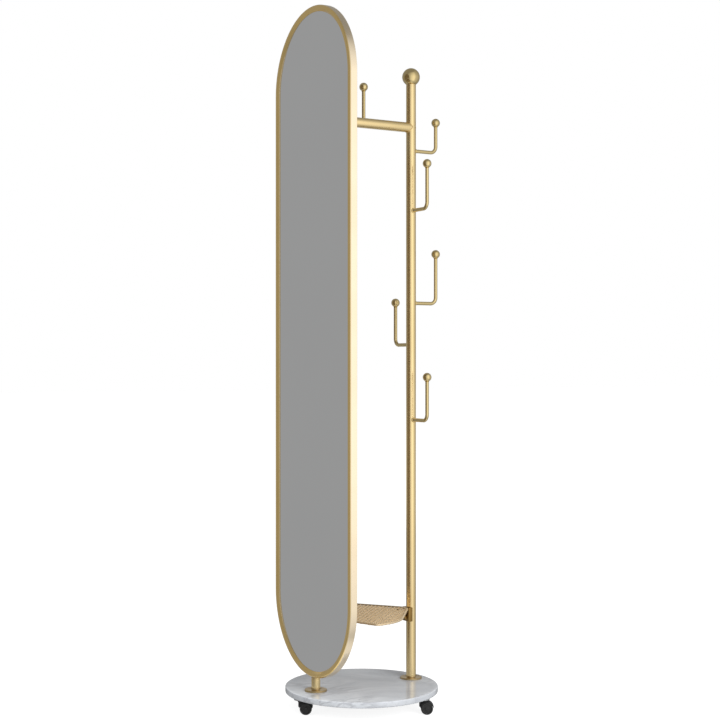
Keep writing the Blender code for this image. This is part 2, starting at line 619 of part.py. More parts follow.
# screws through the bracket into the pole
for word, drop in zip(("lower", "upper"), TRAY_SCREW_DROPS):
    place = (0, BRACKET_FACE - GAP, TRAY_HEIGHT - drop)
    screw_length = GAP + BRACKET_FRONT + 2 * TUBE_WALL
    screw_profile = [
        (0, screw_length),
        (TRAY_SCREW_RADIUS, screw_length),
        (TRAY_SCREW_RADIUS, 0),
        (TRAY_SCREW_HEAD_RADIUS, 0),
        (TRAY_SCREW_HEAD_RADIUS, -TRAY_SCREW_HEAD / 2),
        (TRAY_SCREW_HEAD_RADIUS / 2, -TRAY_SCREW_HEAD),
        (0, -TRAY_SCREW_HEAD),
    ]
    piece(turned("tray_screw_" + word, screw_profile, 14), STEEL, rack, place, BACKWARD)
    for drilled in (bracket, pole):
        way = bar(word + "_way_" + drilled.name, TRAY_SCREW_RADIUS + GAP, 2 * screw_length, 12)
        cut(drilled, way, rack, place, BACKWARD)


# one caster: plate with stem, swivelling hood, axle and two wheels
def caster(name, angle):
    place = (CASTER_CIRCLE * cos(radians(angle)), CASTER_CIRCLE * sin(radians(angle)), 0)
    swivel = axis_point(name + "_swivel", place, stand, CASTER_HEADING)
    wheel_axis = axis_point(name + "_wheel_axis", (CASTER_TRAIL, 0, WHEEL_CENTRE), swivel)
    plate_low = CASTER_HEIGHT - CASTER_PLATE_THICKNESS
    stem_low = plate_low - CASTER_STEM_LENGTH
    plate_profile = [
        (0, CASTER_HEIGHT),
        (CASTER_PLATE_RADIUS, CASTER_HEIGHT),
        (CASTER_PLATE_RADIUS, plate_low),
        (CASTER_STEM_RADIUS, plate_low),
        (CASTER_STEM_RADIUS, stem_low),
        (0, stem_low),
    ]
    piece(turned(name + "_plate", plate_profile, 24), STEEL, stand, place)
    hood_top = plate_low - GAP
    fender_inner = WHEEL_RADIUS + WHEEL_CLEARANCE
    boss_low = WHEEL_CENTRE + fender_inner
    sideways = (pi / 2, 0, 0)
    fender_angles = [radians(12 + 156 * index / 10) for index in range(11)]
    fender_outer = fender_inner + CASTER_FENDER
    fender = [(cos(turn) * fender_outer, sin(turn) * fender_outer) for turn in fender_angles]
    fender += [(cos(turn) * fender_inner, sin(turn) * fender_inner) for turn in reversed(fender_angles)]
    hood = plate(name + "_hood", [fender], CASTER_WIDTH)
    piece(hood, BLACK, swivel, (CASTER_TRAIL, 0, WHEEL_CENTRE), sideways)
    column_half = CASTER_STEM_RADIUS * 3
    column_low = (-column_half, -CASTER_WEB / 2, stem_low - 3 * CASTER_FENDER)
    column_high = (column_half, CASTER_WEB / 2, boss_low + CASTER_FENDER)
    fuse(hood, box(name + "_column", column_low, column_high), swivel)
    fuse(hood, bar(name + "_hub", WHEEL_RADIUS * 0.6, CASTER_WEB, 20), wheel_axis, rotation=sideways)
    boss_place = (0, 0, (hood_top + boss_low) / 2)
    fuse(hood, bar(name + "_boss", CASTER_PLATE_RADIUS / 2, hood_top - boss_low, 20), swivel, boss_place)
    bore_length = 2 * (CASTER_STEM_LENGTH + GAP)
    cut(hood, bar(name + "_stem_bore", CASTER_STEM_RADIUS + GAP, bore_length, 14), swivel, (0, 0, plate_low))
    cut(hood, bar(name + "_axle_bore", AXLE_RADIUS + GAP, 2 * CASTER_WEB, 14), wheel_axis, rotation=sideways)
    axle = bar(name + "_axle", AXLE_RADIUS, CASTER_WIDTH - 2 * GAP, 14)
    piece(axle, STEEL, wheel_axis, rotation=sideways)
    wheel_profile = [
        (WHEEL_RADIUS - WHEEL_EDGE, WHEEL_WIDTH / 2),
        (WHEEL_RADIUS, WHEEL_WIDTH / 2 - WHEEL_EDGE),
        (WHEEL_RADIUS, WHEEL_EDGE - WHEEL_WIDTH / 2),
        (WHEEL_RADIUS - WHEEL_EDGE, -WHEEL_WIDTH / 2),
        (AXLE_RADIUS + GAP, -WHEEL_WIDTH / 2),
        (AXLE_RADIUS + GAP, WHEEL_WIDTH / 2),
    ]
    wheel_shift = CASTER_WEB / 2 + WHEEL_CLEARANCE + WHEEL_WIDTH / 2
    for side, word in ((1, "left"), (-1, "right")):
        wheel = turned(name + "_wheel_" + word, wheel_profile, WHEEL_SIDES, ring=True)
        wheel_turn = Matrix.Rotation(pi / 2, 4, "X") @ Matrix.Rotation(pi / 2 + pi / WHEEL_SIDES, 4, "Z")
        piece(wheel, BLACK, wheel_axis, (0, side * wheel_shift, 0), wheel_turn.to_euler())


for number, angle in enumerate(CASTER_ANGLES):
    caster("caster_" + str(number + 1), angle)
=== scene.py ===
from math import asin, ceil, cos, pi, radians, sin, sqrt, tan

import bmesh
import bpy
from mathutils import Matrix, Vector


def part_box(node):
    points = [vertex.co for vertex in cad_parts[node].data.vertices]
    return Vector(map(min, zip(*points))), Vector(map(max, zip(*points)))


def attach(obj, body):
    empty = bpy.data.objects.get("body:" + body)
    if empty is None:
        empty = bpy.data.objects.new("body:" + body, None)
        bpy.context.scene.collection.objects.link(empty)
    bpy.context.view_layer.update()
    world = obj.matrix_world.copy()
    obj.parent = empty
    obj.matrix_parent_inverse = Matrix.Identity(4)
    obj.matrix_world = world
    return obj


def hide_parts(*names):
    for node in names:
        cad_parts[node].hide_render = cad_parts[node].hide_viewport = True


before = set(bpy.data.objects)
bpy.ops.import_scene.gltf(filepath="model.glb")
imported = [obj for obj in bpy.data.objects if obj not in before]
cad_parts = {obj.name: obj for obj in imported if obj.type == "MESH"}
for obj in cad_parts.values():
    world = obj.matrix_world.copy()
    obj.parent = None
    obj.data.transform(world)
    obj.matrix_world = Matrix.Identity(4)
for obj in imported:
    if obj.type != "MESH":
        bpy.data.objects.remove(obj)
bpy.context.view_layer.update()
scene = bpy.context.scene
scene.view_settings.view_transform = "Standard"


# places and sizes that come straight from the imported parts
def middleOf(node):
    low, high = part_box(node)
    return (low + high) / 2


def sizeOf(node):
    low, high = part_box(node)
    return high - low


slabLow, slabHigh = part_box("base_slab")
slabMiddle = (slabLow + slabHigh) / 2
baseCentre = Vector((slabMiddle.x, slabMiddle.y, 0))
baseTop = slabHigh.z
postAxis = middleOf("front_post").xy
poleAxis = middleOf("rear_pole").xy
poleRadius = sizeOf("rear_pole").x / 2
upright = Matrix.Identity(3)
toBack = Matrix.Rotation(-pi / 2, 3, "X")    # lays an upright shape down, pointing to the back
print("frame loaded:", len(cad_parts), "parts, base top at", round(baseTop, 4))


# mesh helpers
def smoothMesh(mesh, sharp):
    mesh.shade_smooth()
    mesh.set_sharp_from_angle(angle=radians(sharp))


def fromBmesh(name, work, sharp=40):
    bmesh.ops.recalc_face_normals(work, faces=work.faces)
    mesh = bpy.data.meshes.new(name)
    work.to_mesh(mesh)
    work.free()
    smoothMesh(mesh, sharp)
    piece = bpy.data.objects.new(name, mesh)
    scene.collection.objects.link(piece)
    return piece


# rings of points become a skin, closed round or with a fan over each end
def skinRings(work, rings, around):
    rows = [[work.verts.new(point) for point in ring] for ring in rings]
    count = len(rows[0])
    pairs = list(zip(rows, rows[1:]))
    if around:
        pairs.append((rows[-1], rows[0]))
    for first, second in pairs:
        for index in range(count):
            after = (index + 1) % count
            work.faces.new((first[index], first[after], second[after], second[index]))
    if not around:
        for row in (rows[0], rows[-1]):
            hub = work.verts.new(sum((vert.co for vert in row), Vector()) / count)
            for index in range(count):
                work.faces.new((row[index], row[(index + 1) % count], hub))


# outline of (radius, height) pairs turned about an upright line, or about the one that frameTurn gives
def turnPiece(name, outline, steps, centre, ring=False, frameTurn=upright, sharp=40):
    rings = []
    for radius, height in outline:
        points = []
        for index in range(steps):
            angle = 2 * pi * index / steps
            point = Vector((radius * cos(angle), radius * sin(angle), height))
            points.append(frameTurn @ point + Vector(centre))
        rings.append(points)
    work = bmesh.new()
    skinRings(work, rings, around=ring)
    return fromBmesh(name, work, sharp)


# plain round bar that cuts a hole
def drillBar(radius, high, low, steps, centre, frameTurn=upright):
    return turnPiece("drillBar", [(radius, high), (radius, low)], steps, centre, frameTurn=frameTurn)


# arc of an outline, from one angle to another in degrees
def arcPoints(centre, radius, startAngle, endAngle, steps):
    points = []
    for index in range(steps + 1):
        angle = radians(startAngle + (endAngle - startAngle) * index / steps)
        points.append((centre[0] + radius * cos(angle), centre[1] + radius * sin(angle)))
    return points


# outline of a ball, from its top down to the round seat that it stands on
def ballOutline(radius, seatRadius, rings):
    spread = pi - asin(seatRadius / radius)
    outline = []
    for index in range(1, rings + 1):
        angle = spread * index / rings
        outline.append((radius * sin(angle), radius * cos(angle)))
    return outline


# round wire along a line of points, carried round bends without twist
def addWire(work, points, radius, sides, closed=False):
    points = [Vector(point) for point in points]
    count = len(points)
    rings = []
    side = None
    for index, point in enumerate(points):
        before = points[index - 1] if closed or index else point
        after = points[(index + 1) % count] if closed or index < count - 1 else point
        along = (after - before).normalized()
        if side is None:    # any way across the wire will do for the first ring
            helper = Vector((0, 0, 1)) if abs(along.z) < 0.9 else Vector((1, 0, 0))
            side = along.cross(helper).normalized()
        side = (side - along * side.dot(along)).normalized()
        other = along.cross(side)
        ring = []
        for number in range(sides):
            angle = 2 * pi * number / sides
            ring.append(point + (side * cos(angle) + other * sin(angle)) * radius)
        rings.append(ring)
    skinRings(work, rings, around=closed)


def wirePiece(name, points, radius, sides, closed=False):
    work = bmesh.new()
    addWire(work, points, radius, sides, closed)
    return fromBmesh(name, work)


# box with rounded edges
def addRoundBox(work, low, high, edge, steps=3):
    low = Vector(low)
    high = Vector(high)
    place = Matrix.Translation((low + high) / 2) @ Matrix.Diagonal((*(high - low), 1))
    made = bmesh.ops.create_cube(work, size=1, matrix=place)["verts"]
    edges = list({line for vert in made for line in vert.link_edges})
    bmesh.ops.bevel(
        work, geom=edges, offset=edge, segments=steps, profile=0.5, affect="EDGES", clamp_overlap=True,
    )


# cut or join meshes, weld what that leaves too close together, and keep the result as the piece's own mesh
weldReach = 0.00001


def cutWith(piece, tools, operation="DIFFERENCE", sharp=40):
    for tool in tools:
        step = piece.modifiers.new("cut", "BOOLEAN")
        step.solver = "EXACT"
        step.operation = operation
        step.object = tool
    bpy.context.view_layer.update()
    graph = bpy.context.evaluated_depsgraph_get()
    mesh = bpy.data.meshes.new_from_object(piece.evaluated_get(graph))
    piece.modifiers.clear()
    work = bmesh.new()
    work.from_mesh(mesh)
    bmesh.ops.remove_doubles(work, verts=work.verts, dist=weldReach)
    bmesh.ops.dissolve_degenerate(work, edges=work.edges, dist=weldReach)
    work.to_mesh(mesh)
    work.free()
    smoothMesh(mesh, sharp)
    piece.data = mesh
    for tool in tools:
        bpy.data.objects.remove(tool)


def dress(piece, finish, body, slot, *nodes):
    piece.data.materials.clear()
    piece.data.materials.append(finish)
    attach(piece, body)
    if nodes:
        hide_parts(*nodes)


# shader helpers
def newFinish(name):
    finish = bpy.data.materials.new(name)
    finish.use_nodes = True
    tree = finish.node_tree
    return finish, tree, tree.nodes["Principled BSDF"]


def objectNoise(tree, scale, detail, stretch=(1, 1, 1), distortion=0.0, roughness=0.5):
    place = tree.nodes.new("ShaderNodeTexCoord")
    mapping = tree.nodes.new("ShaderNodeMapping")
    mapping.inputs["Scale"].default_value = stretch
    noise = tree.nodes.new("ShaderNodeTexNoise")
    noise.inputs["Scale"].default_value = scale
    noise.inputs["Detail"].default_value = detail
    noise.inputs["Roughness"].default_value = roughness
    noise.inputs["Distortion"].default_value = distortion
    tree.links.new(place.outputs["Object"], mapping.inputs["Vector"])
    tree.links.new(mapping.outputs["Vector"], noise.inputs["Vector"])
    return noise.outputs["Fac"]


# one tone below the first level of the source, the other above the second level
def twoTones(tree, source, tones, levels):
    ramp = tree.nodes.new("ShaderNodeValToRGB")
    for stop, tone, level in zip(ramp.color_ramp.elements, tones, levels):
        stop.position = level
        stop.color = (*tone, 1)
    tree.links.new(source, ramp.inputs["Fac"])
    return ramp.outputs["Color"]


def rangeOf(tree, source, low, high, fromLow=0.3, fromHigh=0.7):
    span = tree.nodes.new("ShaderNodeMapRange")
    span.inputs["From Min"].default_value = fromLow
    span.inputs["From Max"].default_value = fromHigh
    span.inputs["To Min"].default_value = low
    span.inputs["To Max"].default_value = high
    tree.links.new(source, span.inputs["Value"])
    return span.outputs["Result"]


# one step of arithmetic on sockets and plain numbers
def mathOf(tree, operation, *values):
    step = tree.nodes.new("ShaderNodeMath")
    step.operation = operation
    for socket, value in zip(step.inputs, values):
        if isinstance(value, bpy.types.NodeSocket):
            tree.links.new(value, socket)
        else:
            socket.default_value = value
    return step.outputs["Value"]


def mixTone(tree, amount, first, second, blendType="MIX"):
    mix = tree.nodes.new("ShaderNodeMix")
    mix.data_type = "RGBA"
    mix.blend_type = blendType
    mix.inputs["B"].default_value = (*second, 1)
    tree.links.new(amount, mix.inputs["Factor"])
    tree.links.new(first, mix.inputs["A"])
    return mix.outputs["Result"]


# painted reflection and shade: a second tone multiplied in towards one side of a piece, by its own place or
# by the way a face looks
def paintedSideTone(tree, colour, source, axis, fromFirst, toSecond, share):
    place = tree.nodes.new("ShaderNodeTexCoord")
    parts = tree.nodes.new("ShaderNodeSeparateXYZ")
    tree.links.new(place.outputs[source], parts.inputs["Vector"])
    amount = rangeOf(tree, parts.outputs[axis], 0.0, 1.0, fromFirst, toSecond)
    return mixTone(tree, amount, colour, share, "MULTIPLY")


def bumpFrom(tree, shader, source, strength, distance):
    bump = tree.nodes.new("ShaderNodeBump")
    bump.inputs["Strength"].default_value = strength
    bump.inputs["Distance"].default_value = distance
    tree.links.new(source, bump.inputs["Height"])
    tree.links.new(bump.outputs["Normal"], shader.inputs["Normal"])


# satin champagne gold: two close tones in broad clouds, a fine even grain in the gloss
goldBase = {
    "cloud": {"scale": 9, "detail": 4, "distortion": 0.4}, "levels": (0.32, 0.68),
    "grain": {"scale": 700, "detail": 3}, "grainDepth": 0.0002,
}


def makeGold(name, look):
    finish, tree, shader = newFinish(name)
    cloud = objectNoise(tree, **goldBase["cloud"])
    colour = twoTones(tree, cloud, look["tones"], goldBase["levels"])
    # painted reflection and shade towards one side, where the look gives it
    if "second" in look:
        colour = paintedSideTone(tree, colour, *look["second"])
    tree.links.new(colour, shader.inputs["Base Color"])
    grain = objectNoise(tree, **goldBase["grain"], stretch=look.get("stretch", (1, 1, 1)))
    tree.links.new(rangeOf(tree, grain, *look["gloss"]), shader.inputs["Roughness"])
    bumpFrom(tree, shader, grain, look["bump"], goldBase["grainDepth"])
    shader.inputs["Metallic"].default_value = look.get("metal", 1.0)
    return finish


goldTube = makeGold("goldTube", {
    "tones": ((0.85, 0.66, 0.335), (0.90, 0.705, 0.37)), "gloss": (0.20, 0.25), "bump": 0.004,
    "stretch": (1, 1, 0.12),
})
goldFrame = makeGold("goldFrame", {
    "tones": ((0.85, 0.715, 0.51), (0.89, 0.755, 0.555)), "gloss": (0.2, 0.25), "bump": 0.004,
    "stretch": (1, 1, 0.3),
    "second": ("Normal", "Y", -0.4, -0.65, (1.12, 0.955, 0.54)),    # painted warm reflection: deeper, warmer gold on the front face, by the way it faces
})
goldFlange = makeGold("goldFlange", {
    "tones": ((0.48, 0.355, 0.18), (0.53, 0.40, 0.21)), "gloss": (0.26, 0.33), "bump": 0.01,
})
goldHook = makeGold("goldHook", {
    "tones": ((0.69, 0.545, 0.265), (0.74, 0.59, 0.30)), "gloss": (0.15, 0.20), "bump": 0.004,
})
goldWire = makeGold("goldWire", {
    "tones": ((0.86, 0.67, 0.42), (0.91, 0.72, 0.47)), "gloss": (0.40, 0.48), "bump": 0.01, "metal": 0.7,
})
goldRim = makeGold("goldRim", {
    "tones": ((0.86, 0.67, 0.42), (0.91, 0.72, 0.47)), "gloss": (0.34, 0.42), "bump": 0.01, "metal": 0.7,
    "second": ("Object", "X", 0.03, -0.03, (0.48, 0.48, 0.48)),    # painted shade: darker along its far half
})
# tray bracket gold painted dark brown, as painted shade and painted warm reflection where it meets the pole
goldPaintedShade = makeGold("goldPaintedShade", {
    "tones": ((0.32, 0.195, 0.06), (0.38, 0.24, 0.08)), "gloss": (0.28, 0.36), "bump": 0.01,
})

# polished white marble: soft grey clouds, a few long broken veins and fine hairlines
marbleLook = {
    "tones": ((0.515, 0.538, 0.575), (0.68, 0.705, 0.74)), "levels": (0.36, 0.62),
    "cloud": {"scale": 5.5, "detail": 7, "distortion": 1.1, "roughness": 0.58},
    "veinTone": (0.34, 0.35, 0.38),
    "veins": (
        {"scale": 4.2, "stretch": (1, 0.55, 1), "width": 0.026, "weight": 0.62},
        {"scale": 9.5, "stretch": (0.6, 1, 1), "width": 0.014, "weight": 0.30},
    ),
    "wander": {"detail": 5, "distortion": 1.6, "roughness": 0.55},
    "patchScale": 0.7, "patchDetail": 2, "patchLevels": (0.45, 0.6),
    "polish": {"scale": 60, "detail": 3}, "gloss": (0.10, 0.17), "refraction": 1.5,
}


def makeMarble(name, look):
    finish, tree, shader = newFinish(name)
    colour = twoTones(tree, objectNoise(tree, **look["cloud"]), look["tones"], look["levels"])
    for vein in look["veins"]:
        # a vein runs wherever its noise crosses the middle value
        line = objectNoise(tree, vein["scale"], stretch=vein["stretch"], **look["wander"])
        away = mathOf(tree, "ABSOLUTE", mathOf(tree, "SUBTRACT", line, 0.5))
        edge = rangeOf(tree, away, vein["weight"], 0.0, 0.0, vein["width"])
        patch = objectNoise(tree, vein["scale"] * look["patchScale"], look["patchDetail"])
        share = rangeOf(tree, patch, 0.0, 1.0, *look["patchLevels"])
        colour = mixTone(tree, mathOf(tree, "MULTIPLY", edge, share), colour, look["veinTone"])
    tree.links.new(colour, shader.inputs["Base Color"])
    polish = objectNoise(tree, **look["polish"])
    tree.links.new(rangeOf(tree, polish, *look["gloss"]), shader.inputs["Roughness"])
    shader.inputs["IOR"].default_value = look["refraction"]
    return finish


marble = makeMarble("polishedMarble", marbleLook)


# plainer finishes: one noise gives the tone and, where the look says so, the gloss and the bump
def makeFinish(name, look):
    finish, tree, shader = newFinish(name)
    noise = objectNoise(tree, **look["noise"])
    tree.links.new(twoTones(tree, noise, look["tones"], look["levels"]), shader.inputs["Base Color"])
    if "gloss" in look:
        tree.links.new(rangeOf(tree, noise, *look["gloss"]), shader.inputs["Roughness"])
    else:
        shader.inputs["Roughness"].default_value = look["evenGloss"]
    if "bump" in look:
        bumpFrom(tree, shader, noise, *look["bump"])
    shader.inputs["Metallic"].default_value = look.get("metal", 0.0)
    return finish


silver = makeFinish("silveredGlass", {
    "noise": {"scale": 3, "detail": 2}, "levels": (0.3, 0.7),
    "tones": ((0.868, 0.872, 0.872), (0.884, 0.888, 0.888)), "evenGloss": 0.02, "metal": 1.0,
})
board = makeFinish("hardboard", {
    "noise": {"scale": 260, "detail": 5, "stretch": (1, 1, 0.5), "distortion": 0.8}, "levels": (0.35, 0.66),
    "tones": ((0.43, 0.35, 0.26), (0.51, 0.415, 0.313)), "gloss": (0.62, 0.8), "bump": (0.25, 0.0004),
})
steel = makeFinish("zincSteel", {
    "noise": {"scale": 120, "detail": 5, "stretch": (1, 1, 0.15), "distortion": 0.6}, "levels": (0.3, 0.7),
    "tones": ((0.44, 0.45, 0.46), (0.60, 0.61, 0.62)), "gloss": (0.28, 0.42), "metal": 1.0,
})
speckle = {"noise": {"scale": 900, "detail": 3}, "levels": (0.35, 0.65)}    # shared by the black plastics
hoodPlastic = makeFinish("hoodPlastic", {
    **speckle, "tones": ((0.010, 0.010, 0.011), (0.020, 0.020, 0.021)),
    "gloss": (0.30, 0.42), "bump": (0.08, 0.0002),
})
treadPlastic = makeFinish("treadPlastic", {
    **speckle, "tones": ((0.012, 0.012, 0.012), (0.026, 0.026, 0.026)),
    "gloss": (0.48, 0.62), "bump": (0.18, 0.0002),
})
axleBlack = makeFinish("axleBlack", {
    **speckle, "tones": ((0.018, 0.018, 0.019), (0.032, 0.032, 0.034)),
    "gloss": (0.3, 0.4), "bump": (0.05, 0.0002),
})
print("finishes made")


# marble base, with its recessed bolt seats underneath
slabShape = {
    "edge": 0.0022, "edgeSteps": 5, "steps": 160, "innerRing": 0.55, "edgeSupport": 3,
    "seatRadius": 0.0087, "seatDepth": 0.006, "seatSteps": 40,
    "boltHole": 0.0043, "holeSteps": 32, "past": 0.01,
}
slabRadius = (slabHigh.x - slabLow.x) / 2
edge = slabShape["edge"]
flatRing = slabRadius - slabShape["edgeSupport"] * edge
innerRing = slabRadius * slabShape["innerRing"]
outline = [(innerRing, slabHigh.z), (flatRing, slabHigh.z)]
outline += arcPoints((slabRadius - edge, slabHigh.z - edge), edge, 90, 0, slabShape["edgeSteps"])
outline += arcPoints((slabRadius - edge, slabLow.z + edge), edge, 0, -90, slabShape["edgeSteps"])
outline += [(flatRing, slabLow.z), (innerRing, slabLow.z)]
slab = turnPiece("marbleSlab", outline, slabShape["steps"], baseCentre)
tools = []
for axis in (postAxis, poleAxis):
    centre = (axis.x, axis.y, 0)
    past = slabShape["past"]
    seatTop = slabLow.z + slabShape["seatDepth"]
    tools.append(drillBar(slabShape["seatRadius"], seatTop, slabLow.z - past, slabShape["seatSteps"], centre))
    holeEnds = (slabHigh.z + past, slabLow.z - 2 * past)
    tools.append(drillBar(slabShape["boltHole"], *holeEnds, slabShape["holeSteps"], centre))
cutWith(slab, tools)
dress(slab, marble, "stand", "marble", "base_slab")
print("marble base done")


# front post and rear pole
tubeShape = {"wall": 0.0015, "endEdge": 0.0005, "edgeSteps": 3, "edgeSupport": 4, "steps": 72}


def tubeOutline(radius, low, high):
    edge = tubeShape["endEdge"]
    support = tubeShape["edgeSupport"] * edge    # a ring near each end keeps the shading straight
    bore = radius - tubeShape["wall"]
    outline = arcPoints((radius - edge, high - edge), edge, 90, 0, tubeShape["edgeSteps"])
    outline += [(radius, high - support), (radius, low + support)]
    outline += arcPoints((radius - edge, low + edge), edge, 0, -90, tubeShape["edgeSteps"])
    return outline + [(bore, low), (bore, high)]


for name, node, axis in (("frontPostTube", "front_post", postAxis), ("rearPoleTube", "rear_pole", poleAxis)):
    low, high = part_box(node)
    outline = tubeOutline((high.x - low.x) / 2, low.z, high.z)
    pipe = turnPiece(name, outline, tubeShape["steps"], (axis.x, axis.y, 0), ring=True)
    dress(pipe, goldTube, "stand", "gold", node)


# flanges: rounded discs with a small weld up the tube
flangeShape = {
    "edge": 0.0016, "edgeSteps": 5, "edgeSupport": 3, "steps": 72,
    "weld": 0.0022, "weldSteps": 4, "tubeGap": 0.0002,
}
for name, node, axis, tubeNode in (
    ("frontFlange", "post_flange", postAxis, "front_post"),
    ("rearFlange", "pole_flange", poleAxis, "rear_pole"),
):
    low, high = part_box(node)
    radius = (high.x - low.x) / 2
    inner = sizeOf(tubeNode).x / 2 + flangeShape["tubeGap"]
    edge = flangeShape["edge"]
    weld = flangeShape["weld"]
    outline = arcPoints((inner + weld, high.z + weld), weld, 180, 270, flangeShape["weldSteps"])
    outline += [(radius - flangeShape["edgeSupport"] * edge, high.z)]
    outline += arcPoints((radius - edge, high.z - edge), edge, 90, 0, flangeShape["edgeSteps"])
    outline += [(radius, low.z), (inner, low.z)]
    disc = turnPiece(name, outline, flangeShape["steps"], (axis.x, axis.y, 0), ring=True)
    dress(disc, goldFlange, "stand", "gold", node)


# ball on the pole, with a stud down into the tube
finialShape = {"steps": 64, "rings": 32, "studInset": 0.0018, "sharp": 50}
low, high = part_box("ball_finial")
ballRadius = (high.x - low.x) / 2
ballCentre = Vector((poleAxis.x, poleAxis.y, high.z - ballRadius))
studRadius = poleRadius - finialShape["studInset"]
outline = ballOutline(ballRadius, poleRadius, finialShape["rings"])
seatHeight = outline[-1][1]
outline += [(studRadius, seatHeight), (studRadius, low.z - ballCentre.z)]
finial = turnPiece("poleBall", outline, finialShape["steps"], ballCentre, sharp=finialShape["sharp"])
dress(finial, goldHook, "stand", "gold", "ball_finial")
print("posts and ball done")


# crossbar: tube coped to the pole, with a small weld bead round the joint
barShape = {
    "steps": 72, "copeGap": 0.0002, "copeReach": 0.03,
    "bead": 0.0011, "beadSteps": 96, "beadSides": 10, "beadOffPole": 0.6, "beadOffBar": 0.3,
}
barLow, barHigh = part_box("crossbar")
barRadius = (barHigh.x - barLow.x) / 2
barHeight = (barLow.z + barHigh.z) / 2
barStart = (poleAxis.x, barLow.y, barHeight)
outline = tubeOutline(barRadius, 0, poleAxis.y - barLow.y)
crossbar = turnPiece("crossbarTube", outline, barShape["steps"], barStart, ring=True, frameTurn=toBack)
copeReach = barShape["copeReach"]
jointCentre = (poleAxis.x, poleAxis.y, barHeight)
cope = drillBar(poleRadius + barShape["copeGap"], copeReach, -copeReach, barShape["steps"], jointCentre)
cutWith(crossbar, [cope])
dress(crossbar, goldTube, "stand", "gold", "crossbar")

beadReach = poleRadius + barShape["bead"] * barShape["beadOffPole"]
beadSpread = barRadius + barShape["bead"] * barShape["beadOffBar"]
beadLine = []
for index in range(barShape["beadSteps"]):
    angle = 2 * pi * index / barShape["beadSteps"]
    across = beadSpread * cos(angle)
    back = sqrt(max(0.0, beadReach ** 2 - min(abs(across), beadReach) ** 2))
    beadLine.append((poleAxis.x + across, poleAxis.y - back, barHeight + beadSpread * sin(angle)))
bead = wirePiece("crossbarBead", beadLine, barShape["bead"], barShape["beadSides"], closed=True)
dress(bead, goldTube, "stand", "gold")

# the bolt's low domed head sits nearly flush in the back of the pole
boltShape = {
    "head": 0.0050, "headDepth": 0.0019, "rise": 0.0005, "shank": 0.0020, "tip": 0.0004, "steps": 48,
    "dome": 0.0009, "domeShares": (0.15, 0.35, 0.55, 0.75, 0.9, 1),
}
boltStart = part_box("crossbar_bolt")[0].y
headTop = poleAxis.y + poleRadius + boltShape["rise"] - boltStart
headUnder = headTop - boltShape["headDepth"]
outline = []
for share in boltShape["domeShares"]:
    outline.append((boltShape["head"] * share, headTop - boltShape["dome"] * share * share))
outline += [(boltShape["head"], headUnder), (boltShape["shank"], headUnder)]
outline += [(boltShape["shank"], boltShape["tip"]), (boltShape["shank"] - boltShape["tip"], 0)]
boltPlace = (poleAxis.x, boltStart, barHeight)
bolt = turnPiece("crossbarBolt", outline, boltShape["steps"], boltPlace, frameTurn=toBack)
dress(bolt, goldTube, "stand", "gold", "crossbar_bolt")
print("crossbar done")


# hooks: bent rod, weld ring at the root, ball on the upright end; hook 1 is on the crossbar
hookShape = {
    "bearings": {1: 180, 2: 90, 3: 0, 4: 90, 5: 180, 6: 0},
    "extra": 0.0006, "bend": 0.016, "bendSteps": 14, "rodSides": 28, "rootDepth": 0.003,
    "ringWidth": 0.0016, "ringOut": 0.0004, "ringSteps": 8, "ringSides": 40,
    "poleSeat": 0.0002, "barSeat": -0.0004, "slip": 0.0001,
    "ballSteps": 44, "ballRings": 22, "ballSharp": 60, "intoBall": 0.86,
    "neck": 0.0009, "neckDrop": 0.0014, "neckEnd": 0.0018,
}


def makeHook(number):
    rodLow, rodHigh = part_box(f"hook_{number}_rod")
    ballLow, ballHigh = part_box(f"hook_{number}_ball")
    bearing = radians(hookShape["bearings"][number])
    away = Vector((cos(bearing), sin(bearing), 0))
    ballMiddle = (ballLow + ballHigh) / 2
    radius = max(ballHigh.x - ballLow.x, ballHigh.y - ballLow.y) / 2
    top = Vector((ballMiddle.x, ballMiddle.y, ballHigh.z - radius))
    solidRod = (rodHigh - rodLow).dot(Vector((abs(away.y), abs(away.x), 0))) / 2
    thick = solidRod + hookShape["extra"]    # drawn a little stouter than the solid
    onBar = number == 1
    carrier = barRadius if onBar else poleRadius
    start = Vector((poleAxis.x, ballMiddle.y if onBar else poleAxis.y, rodLow.z + solidRod))
    reach = (top.xy - start.xy).length
    # along the arm, round the bend and up into the ball
    bend = hookShape["bend"]
    line = [start + away * (carrier - hookShape["rootDepth"])]
    for index in range(hookShape["bendSteps"] + 1):
        angle = pi / 2 * index / hookShape["bendSteps"]
        out = reach - bend + bend * sin(angle)
        line.append(start + away * out + Vector((0, 0, bend - bend * cos(angle))))
    line.append(top - Vector((0, 0, radius * hookShape["intoBall"])))
    rod = wirePiece(f"hook{number}Rod", line, thick, hookShape["rodSides"])
    dress(rod, goldHook, "stand", "gold", f"hook_{number}_rod")
    # small turned ring where the rod enters the tube
    toSide = Vector((0, 0, 1)).rotation_difference(away).to_matrix()
    width = hookShape["ringWidth"]
    slip = thick + hookShape["slip"]
    outline = [(slip, width)]
    outline += arcPoints((thick + hookShape["ringOut"], 0), width, 90, -90, hookShape["ringSteps"])
    outline += [(slip, -width)]
    seat = start + away * (carrier + hookShape["barSeat" if onBar else "poleSeat"])
    ring = turnPiece(f"hook{number}Ring", outline, hookShape["ringSides"], seat, ring=True, frameTurn=toSide)
    dress(ring, goldHook, "stand", "gold")
    outline = ballOutline(radius, thick, hookShape["ballRings"])
    seatHeight = outline[-1][1]
    outline += [(thick + hookShape["neck"], seatHeight - hookShape["neckDrop"])]
    outline += [(slip, seatHeight - hookShape["neckEnd"])]
    ball = turnPiece(f"hook{number}Ball", outline, hookShape["ballSteps"], top, sharp=hookShape["ballSharp"])
    dress(ball, goldHook, "stand", "gold", f"hook_{number}_ball")


for number in sorted(hookShape["bearings"]):
    makeHook(number)
print("hooks done")


